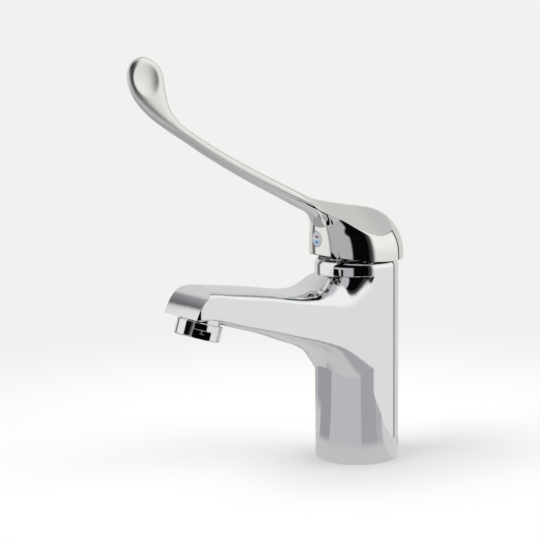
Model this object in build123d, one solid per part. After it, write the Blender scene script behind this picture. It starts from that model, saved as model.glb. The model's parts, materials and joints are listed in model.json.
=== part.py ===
from build123d import *
import math
import os

os.makedirs("parts", exist_ok=True)

# Frame: +Z up along the column, spout and lever towards -Y, origin on the deck under the column's axis.
overrun = 60.0

# Column, under cavity and inlet web
column_radius = 23.0
column_height = 103.2
base_chamfer = 0.6
cavity_radius = 19.4
cavity_height = 50.0
web_thickness = 11.0
inlet_thread_radius = 4.5
inlet_spacing = 15.0
inlet_offset = -5.0
inlet_bore_radius = 3.4
inlet_tube_radius = 5.6
stud_thread_radius = 3.4
stud_thread_depth = 9.0
stud_offset = 12.5

# Base ring seal
seal_groove_outer = 22.0
seal_groove_inner = 20.3
seal_groove_depth = 1.6
seal_side_clearance = 0.05

# Spout
spout_tip_reach = 110.0
spout_tip_half_width = 16.74
spout_side_inset = 0.05

# Each row: place along the reach, then crown, upper side edge, lower side edge and keel over the column height
spout_section_shares = [
    (-0.020, 1.230, 1.060, 0.460, 0.120),
    (0.044, 1.190, 0.975, 0.548, 0.200),
    (0.076, 1.165, 0.911, 0.583, 0.260),
    (0.132, 1.090, 0.868, 0.611, 0.368),
    (0.189, 1.022, 0.845, 0.642, 0.468),
    (0.227, 1.006, 0.847, 0.655, 0.538),
    (0.255, 0.984, 0.856, 0.664, 0.572),
    (0.284, 0.963, 0.865, 0.674, 0.594),
    (0.318, 0.948, 0.872, 0.685, 0.615),
    (0.364, 0.940, 0.880, 0.700, 0.640),
    (0.430, 0.942, 0.889, 0.719, 0.666),
    (0.520, 0.956, 0.906, 0.746, 0.704),
    (0.650, 0.978, 0.929, 0.783, 0.753),
    (0.800, 0.998, 0.950, 0.826, 0.805),
    (0.930, 1.012, 0.966, 0.862, 0.848),
    (1.080, 1.020, 0.980, 0.900, 0.888),
]

# Front of the spout: places along the reach and over the column height
front_curve_shares = [(1.010, 0.850), (1.000, 0.876), (0.975, 0.930), (0.925, 0.986), (0.860, 1.040)]

# Waterway: place along the reach, then height of its middle, half width and half height
waterway_shares = [
    (-0.118, 0.659, 0.52, 0.26),
    (0.000, 0.659, 0.63, 0.30),
    (0.164, 0.683, 0.63, 0.31),
    (0.318, 0.751, 0.59, 0.30),
    (0.545, 0.831, 0.52, 0.27),
    (0.882, 0.897, 0.40, 0.19),
]

# Outlet nipple and aerator, along an axis that leans forward at the bottom
outlet_tilt = 17.0
outlet_setback = 8.54
outlet_drop = 26.10
collar_radius = 12.0
collar_height = 8.4
collar_seat_gap = 0.5
collar_chamfer = 0.5
flat_across = 22.0
flat_height = 4.6
flat_turn = -20.0
nipple_radius = 10.9
nipple_bore_radius = 8.8
nipple_length = 4.0
nipple_bore_depth = 11.0
thread_clearance = 0.05
lip_height = 2.6
lip_radius = 9.5
insert_clearance = 0.1
insert_flange_height = 1.0
insert_flange_radius = 10.5
insert_top_radius = 8.3
insert_top_height = 5.0
insert_cell_across = 2.5
insert_cell_pitch = 3.1
mesh_thickness = 0.6
mesh_recess = 0.5
washer_inner_radius = 9.0

# Cartridge seat, neck and nut
seat_depth = 21.2
cartridge_bore_radius = 17.6
nut_bore_radius = 19.0
nut_bore_depth = 3.7
neck_radius = 20.8
neck_height = 4.8
nut_clearance = 0.1
nut_height = 5.4
nut_hole_radius = 13.35
nut_slot_width = 3.0
nut_slot_depth = 1.6

# Cartridge
cartridge_radius = 17.4
housing_wall = 1.4
foot_flange = 1.5
foot_spigot = 2.0
foot_clearance = 0.1
outlet_port_radius = 4.0
outlet_port_offset = 8.0
ring_seal_width = 1.4
ring_seal_height = 1.2
ring_seal_offset = 0.3
disc_thickness = 3.2
disc_radius = 15.0
moving_thickness = 2.5
moving_radius = 11.5
mixing_pocket_depth = 1.4
mixing_pocket_width = 13.0
mixing_pocket_length = 9.0
coupler_plate = 3.0
coupler_rim = 0.3
coupler_floor = 1.6
coupler_width = 15.0
coupler_boss_height = 3.8
shoulder_thickness = 2.2
neck_tube_radius = 13.0
neck_tube_height = 6.6
carrier_gap = 0.3
carrier_roof = 2.8
carrier_flange_radius = 15.6
carrier_neck_radius = 11.0
carrier_top_rise = 0.5
running_clearance = 0.05
slide_clearance = 0.1
o_ring_width = 1.5
o_ring_depth = 1.4

# Stem and pivot
lift_angle = 20.0
pivot_rise = 3.6
pin_radius = 2.0
pin_end_gap = 0.5
pin_clearance = 0.03
stem_side = 8.0
stem_over_screw = 3.25
stem_socket_clearance = 0.05
foot_arm = 11.0
foot_radius = 3.0
foot_play = 0.15
shank_half_depth = 2.0
shank_rise = 3.3
slot_play = 0.4

# Shroud over the nut
shroud_radius = 22.98
shroud_inner_clearance = 0.15
shroud_straight = 3.2
shroud_hole_radius = 14.2
shroud_top_rise = 9.2
shroud_skin = 1.5
shroud_side_shares = [(0, 0), (0.13, 0.55), (0.50, 0.92)]
shroud_roof_fall_share = 0.08

# Lever cap
cap_radius = 25.7
cap_rise = 7.0
cap_wall = 1.7
facet_slope = 0.70
boss_radius = 8.4
boss_gap = 0.5
socket_gap = 0.3
screw_rise = 8.75
screw_boss_radius = 5.6
screw_radius = 2.5
screw_length = 7.0
screw_hex_across = 2.5
screw_hex_depth = 2.4
key_bore_radius = 2.7
plug_radius = 4.25
plug_clearance = 0.08
plug_depth = 3.2
plug_proud = 0.4
plug_stem_radius = 2.2
plug_stem_length = 2.0
plug_round = 0.4

# Inner hollow of the cap: radius over the inner radius, height over the cap radius above its centre
hollow_shares = [(1.0, -0.35), (1.0, 0.05), (0.925, 0.29), (0.725, 0.445), (0.49, 0.60), (0.24, 0.685), (0.0, 0.70)]

# Rim line: places over the cap radius from its centre
rim_shares = [(1.35, -0.105), (0.35, -0.122), (-0.40, -0.085), (-1.30, 0.062)]

# Cap sections: front point, rear point and half width, all over the cap radius from its centre
cap_section_shares = [
    (-1.004, -0.233, 1.004, -0.233, 1.004),
    (-1.004, -0.10, 1.004, -0.10, 1.004),
    (-1.008, 0.07, 1.000, 0.05, 1.000),
    (-1.014, 0.26, 0.975, 0.24, 0.980),
    (-1.020, 0.43, 0.880, 0.50, 0.915),
    (-1.026, 0.58, 0.640, 0.775, 0.800),
    (-1.060, 0.72, 0.300, 0.945, 0.690),
    (-1.160, 0.86, -0.160, 1.010, 0.560),
    (-1.284, 0.934, -0.638, 1.093, 0.450),
    (-1.409, 0.992, -0.992, 1.167, 0.400),
    (-1.510, 1.043, -1.245, 1.245, 0.381),
    (-1.634, 1.105, -1.490, 1.346, 0.373),
]

# Facet line above the crown, as places over the cap radius
facet_line_shares = [
    (1.40, 1.10), (0.50, 1.075), (0.0, 1.055), (-0.40, 1.105), (-0.80, 1.165),
    (-1.15, 1.225), (-1.35, 1.37), (-1.60, 1.55), (-1.95, 1.80),
]

# Lever arm and head: the arm turns from a bar into an upright disc with a dish on each side
lever_reach = 137.4
lever_rise = 106.1
arm_half_width = 5.6
arm_half_depth = 3.3
head_half_depth = 9.86
dish_radius = 8.3
dish_depth = 1.5
dish_place_share = 0.9323
dish_height_share = 0.9067
head_half_thickness = 2.95

# Each row: place along the reach, height share above the cap centre, slope, half width and half depth shares
arm_section_shares = [
    (0.3274, 0.3204, 26.3, 1.57, 1.00),
    (0.4559, 0.4012, 26.3, 1.18, 0.97),
    (0.5789, 0.4841, 29.0, 1.05, 0.92),
    (0.6952, 0.5699, 31.3, 1.00, 0.84),
    (0.7505, 0.6158, 33.5, 0.98, 0.80),
]
head_section_shares = [
    (0.8003, 0.6560, 35.0, 0.930, 0.293),
    (0.8282, 0.6852, 40.0, 0.880, 0.348),
    (0.8541, 0.7154, 48.0, 0.810, 0.444),
    (0.8755, 0.7469, 57.0, 0.740, 0.567),
    (0.8930, 0.7813, 66.0, 0.670, 0.714),
    (0.9112, 0.8228, 74.0, 0.605, 0.876),
    (0.9221, 0.8624, 81.0, 0.560, 0.963),
    (0.9283, 0.9001, 87.0, 0.530, 1.000),
    (0.9298, 0.9359, 91.0, 0.500, 0.928),
    (0.9309, 0.9623, 94.0, 0.450, 0.781),
    (0.9330, 0.9812, 95.0, 0.370, 0.558),
    (0.9330, 0.9929, 95.0, 0.250, 0.304),
    (0.9330, 0.9986, 95.0, 0.110, 0.101),
]
oval_steps = 10
arm_fullness = 2.6

# Derived heights of the cartridge stack and places that follow from other sizes
web_top = cavity_height + web_thickness
seat_height = column_height - seat_depth
nut_bore_start = column_height - nut_bore_depth
outlet_reach = spout_tip_reach - outlet_setback
outlet_height = column_height - outlet_drop
foot_top = seat_height + foot_flange + foot_spigot
fixed_top = foot_top + disc_thickness
moving_top = fixed_top + moving_thickness
plate_top = moving_top + coupler_plate
coupler_top = plate_top + coupler_boss_height
flange_low = plate_top + carrier_gap
channel_top = coupler_top + carrier_gap
flange_top = channel_top + carrier_roof
shoulder_low = flange_top + slide_clearance
shoulder_top = shoulder_low + shoulder_thickness
neck_tube_top = shoulder_top + neck_tube_height
carrier_top = neck_tube_top + carrier_top_rise
pivot_height = shoulder_top + pivot_rise
cap_centre_height = pivot_height + cap_rise
cap_inner_radius = cap_radius - cap_wall
boss_low = cap_centre_height + boss_gap
screw_height = cap_centre_height + screw_rise
stem_top = screw_height + stem_over_screw
plug_face = cap_radius + plug_proud
neck_top = column_height + neck_height
inner_radius = cartridge_radius - housing_wall
tilt_sine = math.sin(math.radians(lift_angle))
tilt_cosine = math.cos(math.radians(lift_angle))
port_places = [
    (-inlet_spacing / 2, inlet_offset, inlet_bore_radius),
    (inlet_spacing / 2, inlet_offset, inlet_bore_radius),
    (0, outlet_port_offset, outlet_port_radius),
]


def rod(radius, low, high, x=0, y=0):
    return Pos(x, y, low) * Cylinder(radius, high - low, align=(Align.CENTER, Align.CENTER, Align.MIN))


def ring(outer, inner, low, high, x=0, y=0):
    return rod(outer, low, high, x, y) - rod(inner, low - overrun, high + overrun, x, y)


def block(x_low, x_high, y_low, y_high, z_low, z_high):
    size = Box(x_high - x_low, y_high - y_low, z_high - z_low, align=(Align.MIN, Align.MIN, Align.MIN))
    return Pos(x_low, y_low, z_low) * size


def turned(points):
    outline = make_face(Polyline(*[(radius, 0, height) for radius, height in points], close=True))
    return revolve(outline, Axis.Z)


def oval(centre_y, centre_z, slope, half_width, half_depth, fullness=2):
    # A rounded section across a path that climbs at the slope; fullness 2 is an ellipse, and more is squarer
    back_y = math.sin(math.radians(slope))
    back_z = math.cos(math.radians(slope))
    power = 2 / fullness
    halves = []
    for half in range(2):
        points = []
        for step in range(oval_steps + 1):
            turn = math.pi * (half + step / oval_steps)
            cosine = math.cos(turn)
            sine = math.sin(turn)
            across = half_width * math.copysign(abs(cosine) ** power, cosine)
            back = half_depth * math.copysign(abs(sine) ** power, sine)
            points.append((across, centre_y + back * back_y, centre_z + back * back_z))
        halves.append(Spline(*points))
    return make_face(halves)


def half_oval(place_y, middle_z, half_width, rise, start):
    plane = Plane(origin=(0, place_y, middle_z), x_dir=(1, 0, 0), z_dir=(0, -1, 0))
    return plane * EllipticalCenterArc((0, 0), half_width, rise, start_angle=start, arc_size=180)


def spout_half_width(place):
    root = column_radius - spout_side_inset
    return root + (spout_tip_half_width - root) * max(place, 0)


def spout_section(shares):
    place, crown, upper, lower, keel = shares
    place_y = -place * spout_tip_reach
    half_width = spout_half_width(place) - max(-place, 0) * column_radius
    top_z = upper * column_height
    low_z = lower * column_height
    top = half_oval(place_y, top_z, half_width, (crown - upper) * column_height, 0)
    low = half_oval(place_y, low_z, half_width, (lower - keel) * column_height, 180)
    left = Line((-half_width, place_y, top_z), (-half_width, place_y, low_z))
    right = Line((half_width, place_y, low_z), (half_width, place_y, top_z))
    return make_face([top, left, low, right])


def spout_front_cut():
    curve = Spline(*[(0, -y * spout_tip_reach, z * column_height) for y, z in front_curve_shares])
    first = curve @ 0
    last = curve @ 1
    ahead = -spout_tip_reach - overrun
    rest = Polyline(last, (0, ahead, last.Z), (0, ahead, 0), (0, first.Y, 0), first)
    return extrude(make_face([curve, rest]), amount=overrun, dir=(1, 0, 0), both=True)


def outlet_seat_cut():
    seat = collar_height + collar_seat_gap
    return outlet_plane * block(-overrun, overrun, -overrun, collar_radius, -overrun, seat)


def make_spout():
    blank = loft([spout_section(shares) for shares in spout_section_shares])
    blank -= block(-overrun, overrun, -spout_tip_reach / 2, overrun, column_height, column_height + overrun)
    return blank - spout_front_cut() - outlet_seat_cut()


def waterway():
    sections = []
    for place, middle, half_width, half_height in waterway_shares:
        place_y = -place * spout_tip_reach
        sections.append(oval(place_y, middle * column_height, 0, half_width * column_radius, half_height * column_radius))
    return loft(sections)


outlet_plane = Plane(
    origin=(0, -outlet_reach, outlet_height),
    x_dir=(1, 0, 0),
    z_dir=(0, math.sin(math.radians(outlet_tilt)), math.cos(math.radians(outlet_tilt))),
)
nipple_low = collar_height + collar_seat_gap - nipple_length
bore_high = nipple_low + nipple_bore_depth


def make_casting():
    column = rod(column_radius, 0, column_height)
    column = chamfer(column.edges().group_by(Axis.Z)[0], base_chamfer)
    body = column + make_spout() + outlet_plane * rod(nipple_radius, nipple_low, bore_high)
    body += rod(neck_radius, column_height - neck_height, neck_top)
    body -= waterway()
    for x, y, radius in port_places[:2]:
        body += rod(inlet_tube_radius, web_top, seat_height, x, y)
    body -= rod(cartridge_bore_radius, seat_height, seat_height + overrun)
    body -= rod(nut_bore_radius, nut_bore_start, nut_bore_start + overrun)
    body -= rod(cavity_radius, -overrun, web_top)
    body -= ring(seal_groove_outer, seal_groove_inner, -overrun, seal_groove_depth)
    for x, y, radius in port_places[:2]:
        body -= rod(radius, cavity_height, seat_height + foot_flange, x, y)
    body -= rod(outlet_port_radius, waterway_shares[1][1] * column_height, seat_height + foot_flange, 0, outlet_port_offset)
    return body - outlet_plane * rod(nipple_bore_radius, nipple_low - nipple_length, bore_high)


def make_body():
    # The casting from the inlet block's top upwards; the rest of it is the foot
    return casting - block(-overrun, overrun, -overrun, overrun, -overrun, web_top)


def make_foot():
    return casting - block(-overrun, overrun, -spout_tip_reach - overrun, overrun, web_top, column_height + overrun)


def make_inlet_block():
    # The block that closes the column's cavity and takes the hoses and the fixing stud
    block_body = rod(cavity_radius, cavity_height, web_top)
    for x, y, radius in port_places[:2]:
        block_body -= rod(inlet_thread_radius, -overrun, web_top + overrun, x, y)
    return block_body - rod(stud_thread_radius, -overrun, cavity_height + stud_thread_depth, 0, stud_offset)


def make_base_seal():
    outer = seal_groove_outer - seal_side_clearance
    return ring(outer, seal_groove_inner + seal_side_clearance, 0, seal_groove_depth)


def make_aerator_shell():
    inner = nipple_radius + thread_clearance
    shell = chamfer(rod(collar_radius, 0, collar_height).edges(), collar_chamfer)
    shell -= rod(inner, lip_height, collar_height + overrun)
    shell -= rod(lip_radius, -overrun, collar_height)
    for side in (-1, 1):
        edge = side * flat_across / 2
        outer = side * (flat_across / 2 + overrun)
        shell -= block(min(edge, outer), max(edge, outer), -overrun, overrun, -overrun, flat_height)
    return outlet_plane * Rot(0, 0, flat_turn) * shell


def honeycomb():
    cells = HexLocations(insert_cell_pitch / 2, 5, 5)
    half_side = insert_cell_across / 2
    reach = lip_radius - insert_cell_across
    places = [place for place in cells if place.position.length < reach - half_side]
    return [place * RegularPolygon(half_side, 6, major_radius=False) for place in places]


def make_aerator_insert():
    low = mesh_recess + mesh_thickness
    body = rod(lip_radius - insert_clearance, low, lip_height)
    body += rod(insert_flange_radius, lip_height, lip_height + insert_flange_height)
    body += rod(insert_top_radius, lip_height, lip_height + insert_flange_height + insert_top_height)
    for cell in honeycomb():
        body -= extrude(Pos(0, 0, -overrun) * cell, amount=overrun * 2)
    return outlet_plane * body


def make_aerator_mesh():
    return outlet_plane * rod(lip_radius - insert_clearance, mesh_recess, mesh_recess + mesh_thickness)


def make_aerator_washer():
    low = lip_height + insert_flange_height
    return outlet_plane * ring(insert_flange_radius, washer_inner_radius, low, nipple_low)


def make_shroud():
    inner = neck_radius + shroud_inner_clearance
    knee = column_height + shroud_straight
    top = column_height + shroud_top_rise
    drop = shroud_top_rise - shroud_straight
    points = [(shroud_radius - inward * drop, 0, knee + upward * drop) for inward, upward in shroud_side_shares]
    side = ThreePointArc(*points)
    roof_inner = inner - shroud_skin
    lines = [
        Line((shroud_radius, 0, column_height), points[0]),
        side,
        Line(side @ 1, (shroud_hole_radius, 0, top)),
        Polyline(
            (shroud_hole_radius, 0, top),
            (shroud_hole_radius, 0, top - shroud_skin),
            (roof_inner, 0, top - shroud_skin - shroud_roof_fall_share * drop),
            (inner, 0, neck_top + slot_play),
            (inner, 0, column_height),
            (shroud_radius, 0, column_height),
        ),
    ]
    return revolve(make_face(lines), Axis.Z)


def make_nut():
    nut = ring(nut_bore_radius - nut_clearance, nut_hole_radius, shoulder_top, shoulder_top + nut_height)
    top = shoulder_top + nut_height
    half = nut_slot_width / 2
    for side in range(2):
        slot = block(-overrun, overrun, -half, half, top - nut_slot_depth, top + overrun)
        nut -= Rot(0, 0, 90 * side) * slot
    return nut


def make_housing():
    low = seat_height + foot_flange
    bore = carrier_neck_radius + running_clearance
    return turned([
        (inner_radius, low),
        (cartridge_radius, low),
        (cartridge_radius, shoulder_top),
        (neck_tube_radius, shoulder_top),
        (neck_tube_radius, neck_tube_top),
        (bore, neck_tube_top),
        (bore, shoulder_low),
        (inner_radius, shoulder_low),
    ])


def seal_ring(x, y, port, low, slack):
    inner = port + ring_seal_offset - slack
    return ring(port + ring_seal_offset + ring_seal_width + slack, inner, low, low + ring_seal_height, x, y)


def make_cartridge_base():
    flange_high = seat_height + foot_flange
    base = rod(cartridge_radius, seat_height, flange_high)
    base += rod(inner_radius - foot_clearance, flange_high, foot_top)
    for x, y, radius in port_places:
        base -= rod(radius, seat_height - overrun, foot_top + overrun, x, y)
        base -= seal_ring(x, y, radius, seat_height, seal_side_clearance)
        base -= seal_ring(x, y, radius, foot_top - ring_seal_height, seal_side_clearance)
    return base


def make_seals(low):
    return Compound(children=[seal_ring(x, y, radius, low, 0) for x, y, radius in port_places])


def make_fixed_disc():
    disc = rod(disc_radius, foot_top, fixed_top)
    for x, y, radius in port_places:
        disc -= rod(radius, foot_top - overrun, fixed_top + overrun, x, y)
    return disc


def make_moving_disc():
    disc = rod(moving_radius, fixed_top, moving_top)
    pocket = SlotOverall(mixing_pocket_width, mixing_pocket_length)
    return disc - extrude(Pos(0, 0, fixed_top) * pocket, amount=mixing_pocket_depth)


def make_coupler():
    half = coupler_width / 2
    body = rod(moving_radius + coupler_rim, moving_top, plate_top)
    body += block(-half, half, -half, half, plate_top, coupler_top)
    side = stem_side / 2 + slide_clearance
    deep = foot_radius + foot_play
    return body - block(-side, side, -deep, deep, moving_top + coupler_floor, coupler_top + overrun)


def stem_slot():
    side = stem_side / 2 + slide_clearance
    front = (stem_side / 2 + (pivot_height - channel_top) * tilt_sine) / tilt_cosine + slot_play
    rear = (stem_side / 2 + (carrier_top - pivot_height) * tilt_sine) / tilt_cosine + slot_play
    return block(-side, side, -front, rear, flange_low, carrier_top + overrun)


def o_ring_low():
    return shoulder_low + (pivot_height - pin_radius - shoulder_low) / 2 - o_ring_width / 2


def make_carrier():
    half = coupler_width / 2 + slide_clearance
    body = rod(carrier_flange_radius, flange_low, flange_top)
    body += rod(carrier_neck_radius, flange_top, carrier_top)
    body -= block(-half, half, -overrun, overrun, flange_low - overrun, channel_top)
    body -= stem_slot()
    hole = Cylinder(pin_radius + pin_clearance, overrun, rotation=(0, 90, 0))
    body -= Pos(0, 0, pivot_height) * hole
    groove_low = o_ring_low()
    return body - ring(overrun, carrier_neck_radius - o_ring_depth, groove_low, groove_low + o_ring_width)


def make_o_ring():
    low = o_ring_low()
    return ring(carrier_neck_radius, carrier_neck_radius - o_ring_depth, low, low + o_ring_width)


def make_pin():
    length = 2 * (carrier_neck_radius - pin_end_gap)
    return Pos(0, 0, pivot_height) * Cylinder(pin_radius, length, rotation=(0, 90, 0))


def make_stem():
    half = stem_side / 2
    foot_height = pivot_height - foot_arm
    wide_low = foot_height + shank_rise
    stem = block(-half, half, -half, half, wide_low, stem_top)
    stem += block(-half, half, -shank_half_depth, shank_half_depth, foot_height, wide_low)
    stem += Pos(0, 0, foot_height) * Cylinder(foot_radius, stem_side, rotation=(0, 90, 0))
    hole = Cylinder(pin_radius + pin_clearance, overrun, rotation=(0, 90, 0))
    return stem - Pos(0, 0, pivot_height) * hole


def cap_oval(shares):
    front_y, front_z, rear_y, rear_z, width = shares
    centre_y = (front_y + rear_y) / 2 * cap_radius
    centre_z = cap_centre_height + (front_z + rear_z) / 2 * cap_radius
    rise = rear_z - front_z
    run = rear_y - front_y
    slope = math.degrees(math.atan2(run, rise))
    return oval(centre_y, centre_z, slope, width * cap_radius, math.hypot(rise, run) / 2 * cap_radius)


def lever_oval(shares, half_depth):
    place, height, slope, width, depth = shares
    centre_z = cap_centre_height + height * lever_rise
    return oval(-place * lever_reach, centre_z, slope, width * arm_half_width, depth * half_depth, arm_fullness)


def cap_point(shares):
    return (0, shares[0] * cap_radius, cap_centre_height + shares[1] * cap_radius)


def rim_cut():
    curve = Spline(*[cap_point(shares) for shares in rim_shares])
    low = cap_centre_height - overrun
    first = curve @ 0
    last = curve @ 1
    rest = Polyline(last, (0, last.Y, low), (0, first.Y, low), first)
    return extrude(make_face([curve, rest]), amount=overrun, dir=(1, 0, 0), both=True)


def facet_cut(side):
    curve = Spline(*[cap_point(shares) for shares in facet_line_shares])
    high = cap_centre_height + lever_rise + overrun
    first = curve @ 0
    last = curve @ 1
    rest = Polyline(last, (0, last.Y, high), (0, first.Y, high), first)
    length = overrun * math.hypot(1, facet_slope)
    return extrude(make_face([curve, rest]), amount=length, dir=(side, 0, -facet_slope))


def cap_hollow():
    points = [(radius * cap_inner_radius, cap_centre_height + height * cap_radius) for radius, height in hollow_shares]
    start = cap_centre_height + hollow_shares[0][1] * cap_radius
    return turned(points + [(0, start)])


def dish(side):
    # A shallow round hollow in one face of the head, cut by a ball
    ball_radius = (dish_radius ** 2 + dish_depth ** 2) / (2 * dish_depth)
    centre_z = cap_centre_height + dish_height_share * lever_rise
    away = head_half_thickness - dish_depth + ball_radius
    return Pos(side * away, -dish_place_share * lever_reach, centre_z) * Sphere(ball_radius)


def make_lever():
    sections = [cap_oval(shares) for shares in cap_section_shares]
    sections += [lever_oval(shares, arm_half_depth) for shares in arm_section_shares]
    sections += [lever_oval(shares, head_half_depth) for shares in head_section_shares]
    lever = loft(sections)
    lever -= facet_cut(1)
    lever -= facet_cut(-1)
    lever -= rim_cut()
    lever -= cap_hollow()
    ceiling = cap_centre_height + hollow_shares[-1][1] * cap_radius
    lever += rod(boss_radius, boss_low, ceiling)
    spoke = Cylinder(screw_boss_radius, plug_face - boss_radius, rotation=(90, 0, 0))
    lever += Pos(0, -(plug_face - plug_depth + boss_radius - screw_boss_radius) / 2, screw_height) * spoke
    half = stem_side / 2 + stem_socket_clearance
    lever -= block(-half, half, -half, half, boss_low - overrun, stem_top + socket_gap)
    key_way = Cylinder(key_bore_radius, overrun, rotation=(90, 0, 0), align=(Align.CENTER, Align.CENTER, Align.MIN))
    lever -= Pos(0, 0, screw_height) * key_way
    recess = Cylinder(plug_radius + plug_clearance, overrun, rotation=(90, 0, 0), align=(Align.CENTER, Align.CENTER, Align.MIN))
    lever -= Pos(0, -(plug_face - plug_depth), screw_height) * recess
    return lever - dish(1) - dish(-1)


def make_grub_screw():
    start = -stem_side / 2
    screw = Cylinder(screw_radius, screw_length, rotation=(90, 0, 0), align=(Align.CENTER, Align.CENTER, Align.MIN))
    screw = Pos(0, start, screw_height) * screw
    end_plane = Plane(origin=(0, start - screw_length, screw_height), x_dir=(1, 0, 0), z_dir=(0, 1, 0))
    socket = extrude(end_plane * RegularPolygon(screw_hex_across / 2, 6, major_radius=False), amount=screw_hex_depth)
    return screw - socket


def make_plug():
    plug = Cylinder(plug_radius, plug_depth, rotation=(90, 0, 0), align=(Align.CENTER, Align.CENTER, Align.MIN))
    plug = fillet(plug.edges().group_by(Axis.Y)[0], plug_round)
    plug = Pos(0, -(plug_face - plug_depth), screw_height) * plug
    tail = Cylinder(plug_stem_radius, plug_stem_length, rotation=(90, 0, 0), align=(Align.CENTER, Align.CENTER, Align.MAX))
    return plug + Pos(0, -(plug_face - plug_depth), screw_height) * tail


casting = make_casting()
pieces = {
    "body_casting": make_body(),
    "casting_foot": make_foot(),
    "inlet_block": make_inlet_block(),
    "base_seal": make_base_seal(),
    "cartridge_shroud": make_shroud(),
    "cartridge_nut": make_nut(),
    "cartridge_housing": make_housing(),
    "cartridge_base": make_cartridge_base(),
    "port_seals": make_seals(seat_height),
    "disc_seals": make_seals(foot_top - ring_seal_height),
    "fixed_ceramic_disc": make_fixed_disc(),
    "moving_ceramic_disc": make_moving_disc(),
    "disc_coupler": make_coupler(),
    "lever_carrier": make_carrier(),
    "carrier_o_ring": make_o_ring(),
    "stem": make_stem(),
    "pivot_pin": make_pin(),
    "lever_handle": make_lever(),
    "indicator_plug": make_plug(),
    "grub_screw": make_grub_screw(),
    "aerator_shell": make_aerator_shell(),
    "aerator_insert": make_aerator_insert(),
    "aerator_mesh": make_aerator_mesh(),
    "aerator_washer": make_aerator_washer(),
}

for name, solid in pieces.items():
    export_step(solid, "parts/" + name + ".step")
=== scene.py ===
"""Elbow lever basin tap in chrome: column, flat-sided spout, domed cap and long lever with a dished head."""
import json
import math

import bmesh
import bpy
import numpy as np
from mathutils import Matrix, Vector


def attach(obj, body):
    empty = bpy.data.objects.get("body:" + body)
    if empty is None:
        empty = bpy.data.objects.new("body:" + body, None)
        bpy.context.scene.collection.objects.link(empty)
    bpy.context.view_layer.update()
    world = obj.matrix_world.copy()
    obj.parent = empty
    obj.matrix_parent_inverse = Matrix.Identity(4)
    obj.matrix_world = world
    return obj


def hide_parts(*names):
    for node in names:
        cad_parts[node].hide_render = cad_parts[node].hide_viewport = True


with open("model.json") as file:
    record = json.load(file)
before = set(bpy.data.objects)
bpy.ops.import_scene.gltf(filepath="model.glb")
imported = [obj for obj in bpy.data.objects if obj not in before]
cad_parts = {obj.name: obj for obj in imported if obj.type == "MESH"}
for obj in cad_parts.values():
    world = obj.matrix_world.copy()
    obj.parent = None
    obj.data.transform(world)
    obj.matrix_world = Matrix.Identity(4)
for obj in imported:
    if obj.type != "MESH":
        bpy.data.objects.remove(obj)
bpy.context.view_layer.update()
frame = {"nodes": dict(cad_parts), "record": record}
MM = 0.001

# Camera: front right of the tap and a little above it, looking slightly down; angles in degrees
CAMERA_PLACE_MM = (629.5, -457.5, 212.58)
CAMERA_TURN = 57.48
CAMERA_DIP = 7.94
CAMERA_ROLL = -0.65
SENSOR_MM = 36
LENS_MM = 95.26
FARTHEST_SEEN_M = 50


def make_camera():
    turn, dip, roll = [math.radians(angle) for angle in (CAMERA_TURN, CAMERA_DIP, CAMERA_ROLL)]
    forward = Vector((-math.sin(turn) * math.cos(dip), math.cos(turn) * math.cos(dip), -math.sin(dip)))
    right = Vector((math.cos(turn), math.sin(turn), 0))
    up = right.cross(forward)
    across = right * math.cos(roll) + up * math.sin(roll)
    above = across.cross(forward)
    data = bpy.data.cameras.new("photo_view")
    data.sensor_width = SENSOR_MM
    data.lens = LENS_MM
    data.clip_end = FARTHEST_SEEN_M
    camera = bpy.data.objects.new("photo_view", data)
    facing = Matrix((across, above, -forward)).transposed()
    camera.matrix_world = Matrix.Translation(Vector(CAMERA_PLACE_MM) * MM) @ facing.to_4x4()
    bpy.context.scene.collection.objects.link(camera)
    bpy.context.scene.camera = camera


make_camera()
bpy.context.scene.view_settings.view_transform = "Standard"


# Colour and node helpers
def linear(code):
    """sRGB hex to linear RGBA."""
    parts = [int(code[i:i + 2], 16) / 255 for i in (1, 3, 5)]
    return [c / 12.92 if c <= 0.04045 else ((c + 0.055) / 1.055) ** 2.4 for c in parts] + [1]


def add(tree, kind, links=(), **settings):
    """One node with its settings, its values by socket name or number, and its links (socket, output)."""
    node = tree.nodes.new("ShaderNode" + kind)
    values = settings.pop("values", {})
    for name, value in settings.items():
        setattr(node, name, value)
    for name, value in values.items():
        node.inputs[name].default_value = value
    for socket, output in links:
        tree.links.new(output, node.inputs[socket])
    return node


def new_material(name):
    material = bpy.data.materials.new(name)
    material.use_nodes = True
    material.node_tree.nodes.clear()
    return material, material.node_tree


# Surroundings: a plain pale studio, and painted reflections of its boxes and flags, which only the polished
# chrome shows
# Headings are degrees anticlockwise from the camera's side, seen from above
HEADING_OF_CAMERA = -36.0
TOP = 95
BOTTOM = -95
BACKDROP = "#f1f1ef"
PAPER = "#ebebe8"
ROOM_LIGHT = "#e4e5e6"
# Tones of the painted reflections, which only the chrome shows
DARK_REFLECTION_BLACK = "#050506"
SKY_REFLECTION_BASE = "#cfd0cf"
DECK_REFLECTION_BASE = "#aeadb0"
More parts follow.
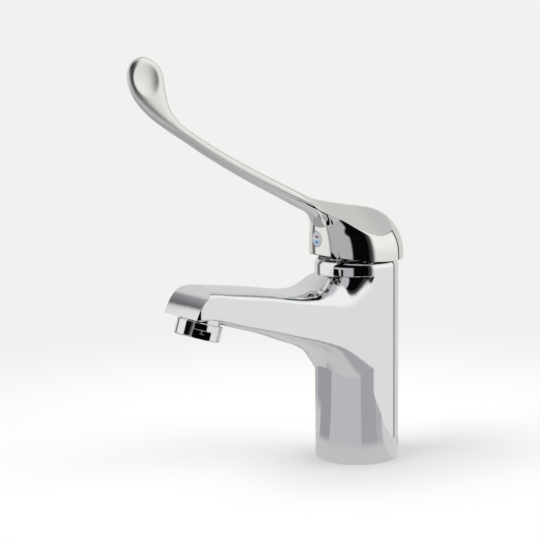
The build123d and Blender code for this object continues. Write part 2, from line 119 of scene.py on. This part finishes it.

# Painted reflections for the chrome: heading low and high, height above the horizon low and high, soft edge
# of each in degrees, colour
SKY_REFLECTION_PATCHES = [
    (-181, 181, 55, TOP, 5, 25, "#c3c1c4"),
    (-181, -134, BOTTOM, 40, 4, 20, "#dad9d8"),
    (128, 181, BOTTOM, 40, 4, 20, "#dcdbda"),
    (-134, -118, BOTTOM, 30, 5, 20, "#737275"),
    (-118, -66, BOTTOM, 60, 5, 10, "#f3f2f0"),
    (-66, -58, BOTTOM, 30, 5, 6, "#a6a5a7"),
    (-58, 4, BOTTOM, 36, 5, 6, "#bab8bb"),
    (-66, 44, 13, 58, 6, 4, "#070709"),
    (20, 50, BOTTOM, 58, 14, 5, "#3c3c3e"),
    (-8, 34, BOTTOM, 58, 6, 5, "#070709"),
    (46, 122, BOTTOM, 12, 14, 30, "#ebeae7"),
    (46, 122, 0, 70, 14, 20, "#fffffd"),
    (124, 129, BOTTOM, 60, 1.5, 10, "#101113"),
]

# The same for the painted reflection of the deck, which only the chrome shows: heading, distance in
# millimetres, soft edges, colour
DECK_REFLECTION_PATCHES = [
    (-181, 181, 0, 900, 5, 20, "#bab8bb"),
    (-128, -70, 60, 900, 3, 20, "#a5a3a8"),
    (-70, 11, 60, 900, 3, 20, "#c5c3c5"),
    (11, 50, 60, 900, 3, 20, "#adabaf"),
    (66, 122, 0, 900, 8, 20, "#dad8d6"),
    (-181, -110, 0, 140, 8, 60, "#cfcecd"),
    (-181, 66, 0, 62, 8, 25, "#cdcccb"),
]

# How far that painted deck reflection reaches: heading, millimetres; its edge is soft over the last few
DECK_REFLECTION_REACH = [(-180, 480), (39, 480), (41.5, 300), (43.5, 205), (48, 184), (62, 144), (76, 101), (97, 69),
              (120, 58), (180, 50)]
LONGEST_REACH = 480
DECK_REFLECTION_EDGE = 8


def painted(tree, across, along, patches, start):
    """Soft-edged patches, each laid over the ones before it."""
    shown = None
    for left, right, low, high, soft, rise, colour in patches:
        cover = None
        edges = ((across, left, soft, 0, 1), (across, right, soft, 1, 0),
                 (along, low, rise, 0, 1), (along, high, rise, 1, 0))
        for value, edge, blur, before, after in edges:
            ramp = add(tree, "MapRange", [("Value", value.outputs[0])], interpolation_type="SMOOTHSTEP",
                       values={"From Min": edge - blur / 2, "From Max": edge + blur / 2,
                               "To Min": before, "To Max": after})
            if cover is None:
                cover = ramp
            else:
                cover = add(tree, "Math", [(0, cover.outputs[0]), (1, ramp.outputs[0])],
                            operation="MULTIPLY")
        below = [("Color1", shown.outputs[0])] if shown else []
        shown = add(tree, "MixRGB", [("Fac", cover.outputs[0])] + below,
                    values={"Color1": linear(start), "Color2": linear(colour)})
    return shown


def heading_of(tree, place):
    """Degrees round the upright axis from the camera's side."""
    turned = add(tree, "VectorRotate", [("Vector", place)], rotation_type="Z_AXIS",
                 values={"Angle": math.radians(-HEADING_OF_CAMERA)})
    split = add(tree, "SeparateXYZ", [(0, turned.outputs[0])])
    turn = add(tree, "Math", [(0, split.outputs[1]), (1, split.outputs[0])], operation="ARCTAN2")
    return add(tree, "Math", [(0, turn.outputs[0])], operation="DEGREES")


def make_sky():
    """Painted reflections in the patches, for glossy and transmission rays only; the backdrop for the camera,
    an even light for the rest.
    """
    world = bpy.data.worlds.new("studio")
    bpy.context.scene.world = world
    world.use_nodes = True
    tree = world.node_tree
    tree.nodes.clear()
    facing = add(tree, "TexCoord").outputs["Generated"]
    split = add(tree, "SeparateXYZ", [(0, facing)])
    height = add(tree, "Math", [(0, split.outputs[2])], operation="ARCSINE")
    height = add(tree, "Math", [(0, height.outputs[0])], operation="DEGREES")
    shown = painted(tree, heading_of(tree, facing), height, SKY_REFLECTION_PATCHES, SKY_REFLECTION_BASE)
    ray = add(tree, "LightPath").outputs
    mirrored = add(tree, "Math", [(0, ray["Is Glossy Ray"]), (1, ray["Is Transmission Ray"])],
                   operation="MAXIMUM")
    plain = add(tree, "MixRGB", [("Fac", ray["Is Camera Ray"])],
                values={"Color1": linear(ROOM_LIGHT), "Color2": linear(BACKDROP)})
    mix = add(tree, "MixRGB", [("Fac", mirrored.outputs[0]), ("Color1", plain.outputs[0]),
                               ("Color2", shown.outputs[0])])
    light = add(tree, "Background", [("Color", mix.outputs[0])], values={"Strength": 1.0})
    add(tree, "OutputWorld", [("Surface", light.outputs[0])])


def flat_piece(name, corners, material):
    mesh = bpy.data.meshes.new(name)
    mesh.from_pydata(corners, [], [tuple(range(len(corners)))])
    mesh.materials.append(material)
    piece = bpy.data.objects.new(name, mesh)
    bpy.context.scene.collection.objects.link(piece)
    return piece


def square(half, height):
    return [(-half, -half, height), (half, -half, height), (half, half, height), (-half, half, height)]


def make_floor():
    """Pale paper: lit and shadowed near the tap, and further out fading into the backdrop's own tone."""
    lit_to, plain_from = 0.10, 0.42
    material, tree = new_material("pale_paper_floor")
    matt = add(tree, "BsdfDiffuse", values={"Color": linear(PAPER)})
    far = add(tree, "Emission", values={"Color": linear(BACKDROP)})
    place = add(tree, "TexCoord").outputs["Object"]
    away = add(tree, "VectorMath", [(0, place)], operation="LENGTH")
    fade = add(tree, "MapRange", [("Value", away.outputs["Value"])], interpolation_type="SMOOTHSTEP",
               values={"From Min": lit_to, "From Max": plain_from})
    mix = add(tree, "MixShader", [(0, fade.outputs[0]), (1, matt.outputs[0]), (2, far.outputs[0])])
    add(tree, "OutputMaterial", [("Surface", mix.outputs[0])])
    floor = flat_piece("floor", square(6.0, 0), material)
    floor.visible_glossy = False


def only_mirrored(piece):
    piece.visible_camera = False
    piece.visible_diffuse = False
    piece.visible_shadow = False


def make_painted_deck_reflection():
    """A painted reflection of the deck round the tap, which only the chrome shows: a glowing card in blocks
    of grey that stop short behind the tap.
    """
    material, tree = new_material("painted_deck_reflection")
    place = add(tree, "TexCoord").outputs["Object"]
    away = add(tree, "VectorMath", [(0, place)], operation="LENGTH")
    away = add(tree, "Math", [(0, away.outputs["Value"])], operation="MULTIPLY", values={1: 1 / MM})
    heading = heading_of(tree, place)
    shown = painted(tree, heading, away, DECK_REFLECTION_PATCHES, DECK_REFLECTION_BASE)
    share = add(tree, "MapRange", [("Value", heading.outputs[0])],
                values={"From Min": -180, "From Max": 180})
    reach = add(tree, "ValToRGB", [(0, share.outputs[0])])
    stops = reach.color_ramp.elements
    while len(stops) < len(DECK_REFLECTION_REACH):
        stops.new(1)
    for stop, (turn, limit) in zip(stops, DECK_REFLECTION_REACH):
        stop.position = (turn + 180) / 360
        stop.color = [limit / LONGEST_REACH] * 3 + [1]
    left_over = add(tree, "Math", [(0, reach.outputs[0])], operation="MULTIPLY", values={1: LONGEST_REACH})
    left_over = add(tree, "Math", [(0, left_over.outputs[0]), (1, away.outputs[0])], operation="SUBTRACT")
    cover = add(tree, "MapRange", [("Value", left_over.outputs[0])], interpolation_type="SMOOTHSTEP",
                values={"From Max": DECK_REFLECTION_EDGE})
    clear = add(tree, "BsdfTransparent")
    glow = add(tree, "Emission", [("Color", shown.outputs[0])])
    mix = add(tree, "MixShader", [(0, cover.outputs[0]), (1, clear.outputs[0]), (2, glow.outputs[0])])
    add(tree, "OutputMaterial", [("Surface", mix.outputs[0])])
    deck_reflection = flat_piece("painted_deck_reflection", square(0.6, 0.1 * MM), material)
    only_mirrored(deck_reflection)


def make_dark_reflection_card():
    """A black card low beside the outlet, which only the chrome shows: a painted dark reflection for the dark
    band in the collar.
    """
    side, front, back, low, high = 0.040, -0.150, -0.098, 0.056, 0.098
    material, tree = new_material("painted_dark_reflection")
    glow = add(tree, "Emission", values={"Color": linear(DARK_REFLECTION_BLACK)})
    add(tree, "OutputMaterial", [("Surface", glow.outputs[0])])
    corners = [(side, front, low), (side, back, low), (side, back, high), (side, front, high)]
    card = flat_piece("painted_dark_reflection", corners, material)
    only_mirrored(card)


def make_lamp(name, heading, height, distance, size, power):
    """A square lamp that faces the tap. Its heading and height are degrees, its distance and side metres,
    its power watts."""
    data = bpy.data.lights.new(name, "AREA")
    data.shape = "SQUARE"
    data.size = size
    data.energy = power
    lamp = bpy.data.objects.new(name, data)
    turn = math.radians(heading + HEADING_OF_CAMERA)
    lift = math.radians(height)
    place = Vector((math.cos(turn) * math.cos(lift), math.sin(turn) * math.cos(lift), math.sin(lift)))
    place = place * distance
    lamp.location = place
    lamp.rotation_euler = place.to_track_quat("Z", "Y").to_euler()
    lamp.visible_glossy = False
    bpy.context.scene.collection.objects.link(lamp)


make_sky()
make_floor()
make_painted_deck_reflection()
make_dark_reflection_card()
make_lamp("key_lamp", -70, 50, 2.4, 1.6, 28)
make_lamp("fill_lamp", 80, 40, 2.8, 2.0, 20)


# Finishes: each starts from what the real surface is and how it was made
# Spacing of the wave texture's bands at a scale of 1, and the middle range of the noise texture
WAVE_PERIOD_MM = 314.16
NOISE_LOW, NOISE_HIGH = 0.3, 0.7


def finish(name, colour, other, blotch_mm, rough, rough_other, bump_mm, bump_depth_mm, rounding_mm=0.0,
           satin=None, marks=None, **values):
    """Two close tones in blotches, gloss that varies with them, a fine surface grain and rounded edges.
    satin gives two heights in millimetres, and how much rougher the surface gets from one to the other.
    marks gives the way a tool's marks follow each other and their spacing in millimetres."""
    material, tree = new_material(name)
    place = add(tree, "TexCoord").outputs["Object"]
    blotch = add(tree, "TexNoise", [("Vector", place)], values={"Scale": 1000 / blotch_mm})
    tone = add(tree, "MixRGB", [("Fac", blotch.outputs[0])],
               values={"Color1": linear(colour), "Color2": linear(other)})
    gloss = add(tree, "MapRange", [("Value", blotch.outputs[0])],
                values={"From Min": NOISE_LOW, "From Max": NOISE_HIGH,
                        "To Min": rough, "To Max": rough_other})
    if satin:
        split = add(tree, "SeparateXYZ", [(0, place)])
        soft = add(tree, "MapRange", [("Value", split.outputs[2])], interpolation_type="SMOOTHSTEP",
                   values={"From Min": satin[0] * MM, "From Max": satin[1] * MM, "To Max": satin[2]})
        gloss = add(tree, "Math", [(0, gloss.outputs[0]), (1, soft.outputs[0])], operation="ADD")
    grain = add(tree, "TexNoise", [("Vector", place)], values={"Scale": 1000 / bump_mm, "Detail": 3.0})
    if marks:
        lines = add(tree, "TexWave", [("Vector", place)], bands_direction=marks[0],
                    values={"Scale": WAVE_PERIOD_MM / marks[1], "Distortion": 0.8, "Detail": 1.0})
        grain = add(tree, "Math", [(0, grain.outputs[0]), (1, lines.outputs["Fac"])], operation="ADD")
    bump = add(tree, "Bump", [("Height", grain.outputs[0])],
               values={"Strength": 1.0, "Distance": bump_depth_mm * MM})
    if rounding_mm:
        edge = add(tree, "Bevel", samples=6, values={"Radius": rounding_mm * MM})
        tree.links.new(edge.outputs[0], bump.inputs["Normal"])
    surface = add(tree, "BsdfPrincipled", [("Base Color", tone.outputs[0]), ("Roughness", gloss.outputs[0]),
                                           ("Normal", bump.outputs[0])], values=values)
    add(tree, "OutputMaterial", [("Surface", surface.outputs[0])])
    return material


# Bright chrome plate on a polished brass casting: a cool clear mirror with a faint wave left by the
# polishing wheel
chromed_casting = finish("chrome_on_brass_casting", "#eff0f2", "#e9ebee", 25, 0.025, 0.05, 14, 0.006, 0.6,
                         Metallic=1.0)
# The same plate on the die-cast zinc lever, a touch warmer: a clear mirror on the cap, and from the arm up
# to the head a softer gloss, where hands and sleeves rub it
chromed_lever = finish("chrome_on_zinc_lever", "#f0efed", "#eae8e5", 30, 0.03, 0.06, 16, 0.006,
                       satin=(140, 158, 0.30), Metallic=1.0)
# Turned trim rings: the sharpest mirror of the three
chromed_trim = finish("chrome_on_turned_trim", "#f0f1f3", "#eceef0", 12, 0.02, 0.04, 8, 0.004, 0.35,
                      Metallic=1.0)
# Machined brass, not plated: warm, satin, with fine rings from the lathe and dull patches of early tarnish
machined_brass = finish("machined_brass", "#d8b15e", "#b98f45", 6, 0.24, 0.42, 0.7, 0.012, 0.2,
                        marks=("Z", 0.5), Metallic=1.0)
# Glass-filled nylon: grey, fairly matt, with a fine moulded grain
grey_nylon = finish("glass_filled_nylon", "#8b8e91", "#7d8083", 4, 0.42, 0.55, 0.5, 0.02, 0.15, IOR=1.53)
# Acetal: milky white and waxy, so its gloss is soft
white_acetal = finish("moulded_acetal", "#ebebe6", "#e0e0da", 5, 0.30, 0.42, 0.8, 0.008, 0.15, IOR=1.48)
# Moulded nitrile rubber: near black and dull with a dusty bloom
nitrile_rubber = finish("nitrile_rubber", "#1c1c1e", "#2a2a2c", 3, 0.58, 0.78, 0.35, 0.02, 0.1, IOR=1.52)
# Stainless steel as turned: grey mirror broken by fine tool marks
turned_steel = finish("turned_stainless_steel", "#c2c4c6", "#a9abae", 3, 0.22, 0.36, 0.4, 0.008, 0.15,
                      marks=("Y", 0.3), Metallic=1.0)
# Lapped alumina: pale ivory, dense and glossy, with faint cloudiness
lapped_alumina = finish("lapped_alumina", "#f0ece2", "#e6e1d6", 4, 0.10, 0.2, 1.0, 0.002, 0.1, IOR=1.76)
# Glossy ABS plug, as it comes from a polished mould: cool pale grey
glossy_abs = finish("glossy_abs_plug", "#c9ced3", "#c1c7cd", 4, 0.16, 0.24, 1.2, 0.004, 0.25, IOR=1.54)
# Pad-printed enamel inks: even colour with a slightly raised, soft-gloss edge
red_ink = finish("red_ink", "#8d5a52", "#7f4c46", 1, 0.30, 0.4, 0.4, 0.004, 0.0, IOR=1.5)
pale_blue_ink = finish("pale_blue_ink", "#a9c3dc", "#9dbad6", 1, 0.28, 0.4, 0.4, 0.004, 0.0, IOR=1.5)
deep_blue_ink = finish("deep_blue_ink", "#2f5478", "#284a6c", 1, 0.30, 0.4, 0.4, 0.004, 0.0, IOR=1.5)

FINISH_OF_SLOT = {
    "chrome_body": chromed_casting,
    "chrome_lever": chromed_lever,
    "chrome_trim": chromed_trim,
    "raw_brass": machined_brass,
    "grey_plastic": grey_nylon,
    "white_plastic": white_acetal,
    "black_rubber": nitrile_rubber,
    "steel": turned_steel,
    "alumina": lapped_alumina,
    "pale_plug": glossy_abs,
}
for part in frame["record"]["subparts"]:
    node = frame["nodes"][part["node"]]
    node.data.materials.clear()
    node.data.materials.append(FINISH_OF_SLOT[part["material_slot"]])


# Pieces made here; all their measures are in millimetres
def place_piece(name, mesh, material, body):
    mesh.materials.clear()
    mesh.materials.append(material)
    piece = bpy.data.objects.new(name, mesh)
    bpy.context.scene.collection.objects.link(piece)
    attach(piece, body)
    return piece


def cad_faces(node, keep):
    """Each kept face of a CAD node as its corners' places and true surface normals."""
    mesh = frame["nodes"][node].data
    places = [vertex.co.copy() for vertex in mesh.vertices]
    normals = [corner.vector.copy() for corner in mesh.corner_normals]
    return [[(places[v], normals[c]) for v, c in zip(face.vertices, face.loop_indices)]
            for face in mesh.polygons if keep(face.center / MM, face.normal)]


def sewn(name, faces):
    """One smooth mesh of these faces, with corners at one place joined; a corner's normal may be None."""
    found = {}
    verts = []
    shapes = []
    normals = []
    for face in faces:
        ring = []
        for place, _ in face:
            key = (round(place[0], 7), round(place[1], 7), round(place[2], 7))
            if key not in found:
                found[key] = len(verts)
                verts.append(tuple(place))
            ring.append(found[key])
        kept = [i for i in range(len(ring)) if ring[i] != ring[i - 1]]
        if len({ring[i] for i in kept}) < 3:
            continue
        shapes.append([ring[i] for i in kept])
        normals.extend([face[i][1] or (0, 0, 0) for i in kept])
    mesh = bpy.data.meshes.new(name)
    mesh.from_pydata(verts, [], shapes)
    for face in mesh.polygons:
        face.use_smooth = True
    mesh.normals_split_custom_set(normals)
    return mesh


# Inlet bores: how far to each side of the middle, and how far forward; where the casting's two lengths meet
INLET_X = 7.5
INLET_Y = -5
SEAM_Z = 61.0


def make_casting():
    """The casting as one unbroken skin: the CAD's two lengths, joined where they meet inside the column."""
    riser_r, bore_r, steps = 3.4, 5.2, 48

    def skin(centre, normal):
        return not (abs(centre.z - SEAM_Z) < 0.01 and abs(normal.z) > 0.999)

    faces = cad_faces("body_casting", skin) + cad_faces("casting_foot", skin)
    # The two inlets' ceilings, seen up the bores of the block
    for middle in (-INLET_X, INLET_X):
        for i in range(steps):
            start, end = [2 * math.pi * (i + step) / steps for step in (0, 1)]
            corners = ((riser_r, start), (riser_r, end), (bore_r, end), (bore_r, start))
            places = [(middle + r * math.cos(a), r * math.sin(a) + INLET_Y, SEAM_Z) for r, a in corners]
            faces.append([((x * MM, y * MM, z * MM), None) for x, y, z in places])
    mesh = sewn("column_and_spout", faces)
    casting = place_piece("column_and_spout", mesh, chromed_casting, "body")
    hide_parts("body_casting", "casting_foot")


# Lever's sections. Cap: front point, rear point and half width, over the cap's radius from its centre
CAP_ROWS = [
    (-1.004, -0.233, 1.004, -0.233, 1.004),
    (-1.004, -0.10, 1.004, -0.10, 1.004),
    (-1.008, 0.07, 1.000, 0.05, 1.000),
    (-1.014, 0.26, 0.975, 0.24, 0.980),
    (-1.020, 0.43, 0.880, 0.50, 0.915),
    (-1.026, 0.58, 0.640, 0.775, 0.800),
    (-1.060, 0.72, 0.300, 0.945, 0.690),
    (-1.160, 0.86, -0.160, 1.010, 0.560),
    (-1.284, 0.934, -0.638, 1.093, 0.450),
    (-1.409, 0.992, -0.992, 1.167, 0.400),
    (-1.510, 1.043, -1.245, 1.245, 0.381),
    (-1.634, 1.105, -1.490, 1.346, 0.373),
]
# Arm and head: place along the reach, height above the cap's centre, slope, half width and half depth
ARM_ROWS = [
    (0.3274, 0.3204, 26.3, 1.57, 1.00),
    (0.4559, 0.4012, 26.3, 1.18, 0.97),
    (0.5789, 0.4841, 29.0, 1.05, 0.92),
    (0.6952, 0.5699, 31.3, 1.00, 0.84),
    (0.7505, 0.6158, 33.5, 0.98, 0.80),
]
HEAD_ROWS = [
    (0.8003, 0.6560, 35.0, 0.930, 0.293),
    (0.8282, 0.6852, 40.0, 0.880, 0.348),
    (0.8541, 0.7154, 48.0, 0.810, 0.444),
    (0.8755, 0.7469, 57.0, 0.740, 0.567),
    (0.8930, 0.7813, 66.0, 0.670, 0.714),
    (0.9112, 0.8228, 74.0, 0.605, 0.876),
    (0.9221, 0.8624, 81.0, 0.560, 0.963),
    (0.9283, 0.9001, 87.0, 0.530, 1.000),
    (0.9298, 0.9359, 91.0, 0.500, 0.928),
    (0.9309, 0.9623, 94.0, 0.450, 0.781),
    (0.9330, 0.9812, 95.0, 0.370, 0.558),
    (0.9330, 0.9929, 95.0, 0.250, 0.304),
    (0.9330, 0.9986, 95.0, 0.110, 0.101),
]
CAP_R = 25.7
CAP_Z = 114.0
LEVER_REACH = 137.4
LEVER_RISE = 106.1
ARM_HALF_WIDTH = 5.6
ARM_HALF_DEPTH = 3.3
HEAD_HALF_DEPTH = 9.86
# How full the sections are: 2 is an ellipse, more is squarer
CAP_FULLNESS = 2.0
ARM_FULLNESS = 2.6
# Ridge of the two facets, the cap's rim and its hollow, each over the cap's radius from its centre
FACET_LINE = [(1.40, 1.10), (0.50, 1.075), (0.0, 1.055), (-0.40, 1.105), (-0.80, 1.165),
              (-1.15, 1.225), (-1.35, 1.37), (-1.60, 1.55), (-1.95, 1.80)]
RIM_LINE = [(1.35, -0.105), (0.35, -0.122), (-0.40, -0.085), (-1.30, 0.062)]
HOLLOW_LINE = [(1.0, -0.35), (1.0, 0.05), (0.925, 0.29), (0.725, 0.445), (0.49, 0.60), (0.24, 0.685),
               (0.0, 0.70)]
HOLLOW_R = 24.0
FACET_SLOPE = 0.70
RIDGE_ROUNDING = 0.6
FACET_ROUNDING = 0.8
# Dish in each face of the head: part of a ball
DISH_BALL_R = 23.72
DISH_BALL_PLACE = (25.17, -128.1, 210.2)
DISH_ROUNDING = 0.5
# Plug hole in the cap's nose
HOLE_Z = 122.75
HOLE_R = 4.33
# The widest that the cap may be, so that it stays inside the CAD's box
CAP_LIMIT = 25.8
SEGMENTS = 200
STEPS_PER_ROW = 9
STEPS_PER_LINE_POINT = 30


def flowing(rows, per_row, hold):
    """Rows run through one smooth cubic curve; hold says how closely it keeps to them."""
    rows = np.array(rows, float)
    wide = np.vstack([2 * rows[0] - rows[1], rows, 2 * rows[-1] - rows[-2]])
    guide = wide.copy()
    guide[1:-1] -= hold * (wide[:-2] - 2 * wide[1:-1] + wide[2:]) / 6
    guide[0] = 2 * guide[1] - guide[2]
    guide[-1] = 2 * guide[-2] - guide[-3]
    found = []
    for i in range(len(rows) - 1):
        for step in range(per_row + (i == len(rows) - 2)):
            t = step / per_row
            weights = np.array([(1 - t) ** 3, 3 * t ** 3 - 6 * t ** 2 + 4,
                                -3 * t ** 3 + 3 * t ** 2 + 3 * t + 1, t ** 3]) / 6
            found.append(weights @ guide[i:i + 4])
    return np.array(found)


def height_on(points, hold, y):
    """How high a line over the cap is at these places from front to back, and how far forward it goes."""
    line = flowing(points, STEPS_PER_LINE_POINT, hold) * CAP_R
    return CAP_Z + np.interp(y, line[::-1, 0], line[::-1, 1]), line[-1, 0]


def soft_least(a, b, blend):
    """The lesser of two values, with the corner between them rounded over this many millimetres."""
    share = np.clip(0.5 + 0.5 * (b - a) / blend, 0, 1)
    return b * (1 - share) + a * share - blend * share * (1 - share)


def lever_rows():
    rows = [(fy * CAP_R, CAP_Z + fz * CAP_R, ry * CAP_R, CAP_Z + rz * CAP_R, w * CAP_R, CAP_FULLNESS)
            for fy, fz, ry, rz, w in CAP_ROWS]
    for table, deep in ((ARM_ROWS, ARM_HALF_DEPTH), (HEAD_ROWS, HEAD_HALF_DEPTH)):
        for place, height, slope, w, d in table:
            y, z, turn = -place * LEVER_REACH, CAP_Z + height * LEVER_RISE, math.radians(slope)
            back_y, back_z = math.sin(turn) * d * deep, math.cos(turn) * d * deep
            rows.append((y - back_y, z - back_z, y + back_y, z + back_z, w * ARM_HALF_WIDTH, ARM_FULLNESS))
    return rows


def lever_skin():
    """The outside as rings of points, with those inside the plug hole and those below the rim marked."""
    rings = flowing(lever_rows(), STEPS_PER_ROW, 0.6)
    turn = np.linspace(0, 2 * math.pi, SEGMENTS, endpoint=False)[None, :]
    front_y, front_z, rear_y, rear_z, half, full = [rings[:, i:i + 1] for i in range(6)]
    side = np.sign(np.cos(turn)) * np.abs(np.cos(turn)) ** (2 / full)
    back = np.sign(np.sin(turn)) * np.abs(np.sin(turn)) ** (2 / full)
    x = half * side
    y = (front_y + rear_y) / 2 + (rear_y - front_y) / 2 * back
    z = (front_z + rear_z) / 2 + (rear_z - front_z) / 2 * back

    # Facets that fall to each side of a ridge, as far forward as the ridge goes
    ridge, ridge_end = height_on(FACET_LINE, 0.6, y)
    roof = ridge - FACET_SLOPE * np.sqrt(x ** 2 + RIDGE_ROUNDING ** 2)
    z = np.where(y > ridge_end, soft_least(z, roof, FACET_ROUNDING), z)

    # Curved rim, under the cap only
    rim, _ = height_on(RIM_LINE, 1.0, y)
    below = (y > -26.5) & (z < rim)
    z = np.where(below, rim, z)

    # A dish in each face of the head, which is all of the lever above 198 and in front of -112
    ball_x, ball_y, ball_z = DISH_BALL_PLACE
    dish = ball_x - np.sqrt(np.maximum(DISH_BALL_R ** 2 - (y - ball_y) ** 2 - (z - ball_z) ** 2, 0))
    x = np.where((z > 198) & (y < -112), np.sign(x) * soft_least(np.abs(x), dish, DISH_ROUNDING), x)

    # Points in the plug hole are pulled out to its edge, on the nose's own curve
    from_hole = np.hypot(x, z - HOLE_Z)
    inside = (y < -20) & (from_hole < HOLE_R)
    pull = np.where(inside, HOLE_R / np.maximum(from_hole, 0.001), 1)
    x, z = x * pull, HOLE_Z + (z - HOLE_Z) * pull
    bulge = np.sqrt(np.clip(1 - (x / half) ** 2, 0, 1))
    y = np.where(inside, (front_y + rear_y) / 2 - (rear_y - front_y) / 2 * bulge, y)
    x, y = np.clip(x, -CAP_LIMIT, CAP_LIMIT), np.minimum(y, CAP_LIMIT)
    return np.stack([x, y, z], axis=2) * MM, inside, below


def make_lever():
    """Cap, arm and head as one flowing skin, with two long facets and a dish on each face of the head."""
    points, inside, below = lever_skin()
    faces = []
    for i in range(len(points) - 1):
        for k in range(SEGMENTS):
            n = (k + 1) % SEGMENTS
            spots = ((i, k), (i, n), (i + 1, n), (i + 1, k))
            if all(inside[spot] for spot in spots) or all(below[spot] for spot in spots):
                continue
            faces.append([(points[spot], None) for spot in spots])
    tip = points[-1].mean(axis=0)
    faces += [[(points[-1, k], None), (points[-1, (k + 1) % SEGMENTS], None), (tip, None)]
              for k in range(SEGMENTS)]
    heights = [CAP_Z + h * CAP_R for _, h in HOLLOW_LINE]
    widths = [w * HOLLOW_R for w, _ in HOLLOW_LINE]

    def inner(centre, normal):
        """The CAD's own faces of the plug hole, of the rim's underside and of the hollow with its boss."""
        out = math.hypot(centre.x, centre.y)
        if -25.95 < centre.y < 0 and math.hypot(centre.x, centre.z - HOLE_Z) < 4.4:
            return True
        if normal.z < -0.9 and centre.z < CAP_Z + 3 and 23.9 < out < 25.85:
            return True
        return centre.z < heights[-1] + 0.1 and out < np.interp(centre.z, heights, widths) + 0.5

    mesh = sewn("lever", faces + cad_faces("lever_handle", inner))
    lever = place_piece("lever_cap_arm_and_head", mesh, chromed_lever, "lever")
    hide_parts("lever_handle")


make_casting()
make_lever()

PLUG_FACE_Y = -26.1
BAR_HALF = 1.1
BAR_RADIUS = 0.55
BAR_Z = 1.15
FIELD_RADIUS = 3.4
DOT_RADIUS = 0.7
DOT_Z = -1.75


def inlay(name, outline, thickness, material):
    """A thin raised shape on the plug's face: outline as (x, z) round the plug's centre."""
    work = bmesh.new()
    ring = [work.verts.new(((x * MM, PLUG_FACE_Y * MM, (HOLE_Z + z) * MM))) for x, z in outline]
    face = work.faces.new(ring)
    raised = bmesh.ops.extrude_face_region(work, geom=[face])
    tops = [item for item in raised["geom"] if isinstance(item, bmesh.types.BMVert)]
    bmesh.ops.translate(work, vec=(0, -thickness * MM, 0), verts=tops)
    bmesh.ops.recalc_face_normals(work, faces=work.faces)
    mesh = bpy.data.meshes.new(name)
    work.to_mesh(mesh)
    work.free()
    return place_piece(name, mesh, material, "lever")


def arc(radius, start, end, steps, centre=(0, 0)):
    return [(centre[0] + radius * math.cos(math.radians(start + (end - start) * i / steps)),
             centre[1] + radius * math.sin(math.radians(start + (end - start) * i / steps)))
            for i in range(steps + 1)]


# A red bar for hot, and a blue dot in a pale field for cold
bar = arc(BAR_RADIUS, -90, 90, 10, (BAR_HALF, BAR_Z)) + arc(BAR_RADIUS, 90, 270, 10, (-BAR_HALF, BAR_Z))
inlay("hot_mark", bar, 0.05, red_ink)
inlay("cold_field", arc(FIELD_RADIUS, 190, 350, 36), 0.04, pale_blue_ink)
inlay("cold_mark", arc(DOT_RADIUS, 0, 345, 23, (0, DOT_Z)), 0.07, deep_blue_ink)

OUTLET_LEAN = 17.0
OUTLET_Y = -101.46
OUTLET_Z = 77.1


def outlet_place(x, y, z):
    """A place in millimetres in the outlet's own frame, which leans forward at the bottom, as metres."""
    lean = math.radians(OUTLET_LEAN)
    along = Vector((0, math.sin(lean), math.cos(lean)))
    back = Vector((0, math.cos(lean), -math.sin(lean)))
    return (Vector((x, OUTLET_Y, OUTLET_Z)) + back * y + along * z) * MM


def make_outlet_screen():
    """Woven steel screen across the outlet, in place of the plain disc.
    Its wires stand about twice as far apart as in a real one, so that the weave still shows in a render."""
    radius = 9.3
    pitch = 1.05
    wire_r = 0.17
    middle = 0.8
    lift = 0.17
    count = int(radius / pitch)
    curve = bpy.data.curves.new("outlet_screen", "CURVE")
    curve.dimensions = "3D"
    curve.bevel_depth = wire_r * MM
    curve.bevel_resolution = 1
    for line in range(-count, count + 1):
        offset = line * pitch
        half = math.sqrt(radius ** 2 - offset ** 2)
        for way in (0, 1):
            steps = max(4, int(4 * half / pitch))
            spline = curve.splines.new("POLY")
            spline.points.add(steps)
            for i in range(steps + 1):
                run = -half + 2 * half * i / steps
                wave = lift * math.cos(math.pi * (run / pitch + line)) * (1 if way else -1)
                x, y = (run, offset) if way else (offset, run)
                spline.points[i].co = (*outlet_place(x, y, middle + wave), 1)
    shape = bpy.data.objects.new("outlet_screen_shape", curve)
    bpy.context.scene.collection.objects.link(shape)
    mesh = bpy.data.meshes.new_from_object(shape.evaluated_get(bpy.context.evaluated_depsgraph_get()))
    bpy.data.objects.remove(shape)
    for face in mesh.polygons:
        face.use_smooth = True
    screen = place_piece("outlet_screen", mesh, turned_steel, "body")
    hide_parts("aerator_mesh")


def make_thread(name, x, y, radius, pitch, depth, low, high, material):
    """A helical thread inside a bore, standing in from its wall. It runs out over half a turn at each end."""
    per_turn = 40
    run_out = 20
    sunk = 0.02
    turns = (high - low) / pitch - 1
    steps = int(turns * per_turn)
    verts = []
    faces = []
    for i in range(steps + 1):
        turn = 2 * math.pi * i / per_turn
        z = low + pitch * i / per_turn
        crest = radius - depth * min(1, i / run_out, (steps - i) / run_out)
        across, back = math.cos(turn), math.sin(turn)
        for reach, up in ((radius + sunk, 0.04), (crest, 0.42), (crest, 0.58), (radius + sunk, 0.96)):
            verts.append(((x + reach * across) * MM, (y + reach * back) * MM, (z + up * pitch) * MM))
    for i in range(steps):
        for k in range(3):
            a = i * 4 + k
            faces.append((a, a + 1, a + 5, a + 4))
    mesh = bpy.data.meshes.new(name)
    mesh.from_pydata(verts, [], faces)
    return place_piece(name, mesh, material, "body")


make_outlet_screen()
make_thread("cold_inlet_thread", INLET_X, INLET_Y, 4.5, 1.0, 0.45, 50.2, 60.8, machined_brass)
make_thread("hot_inlet_thread", -INLET_X, INLET_Y, 4.5, 1.0, 0.45, 50.2, 60.8, machined_brass)
make_thread("stud_thread", 0, 12.5, 3.4, 1.25, 0.5, 50.2, 58.8, machined_brass)
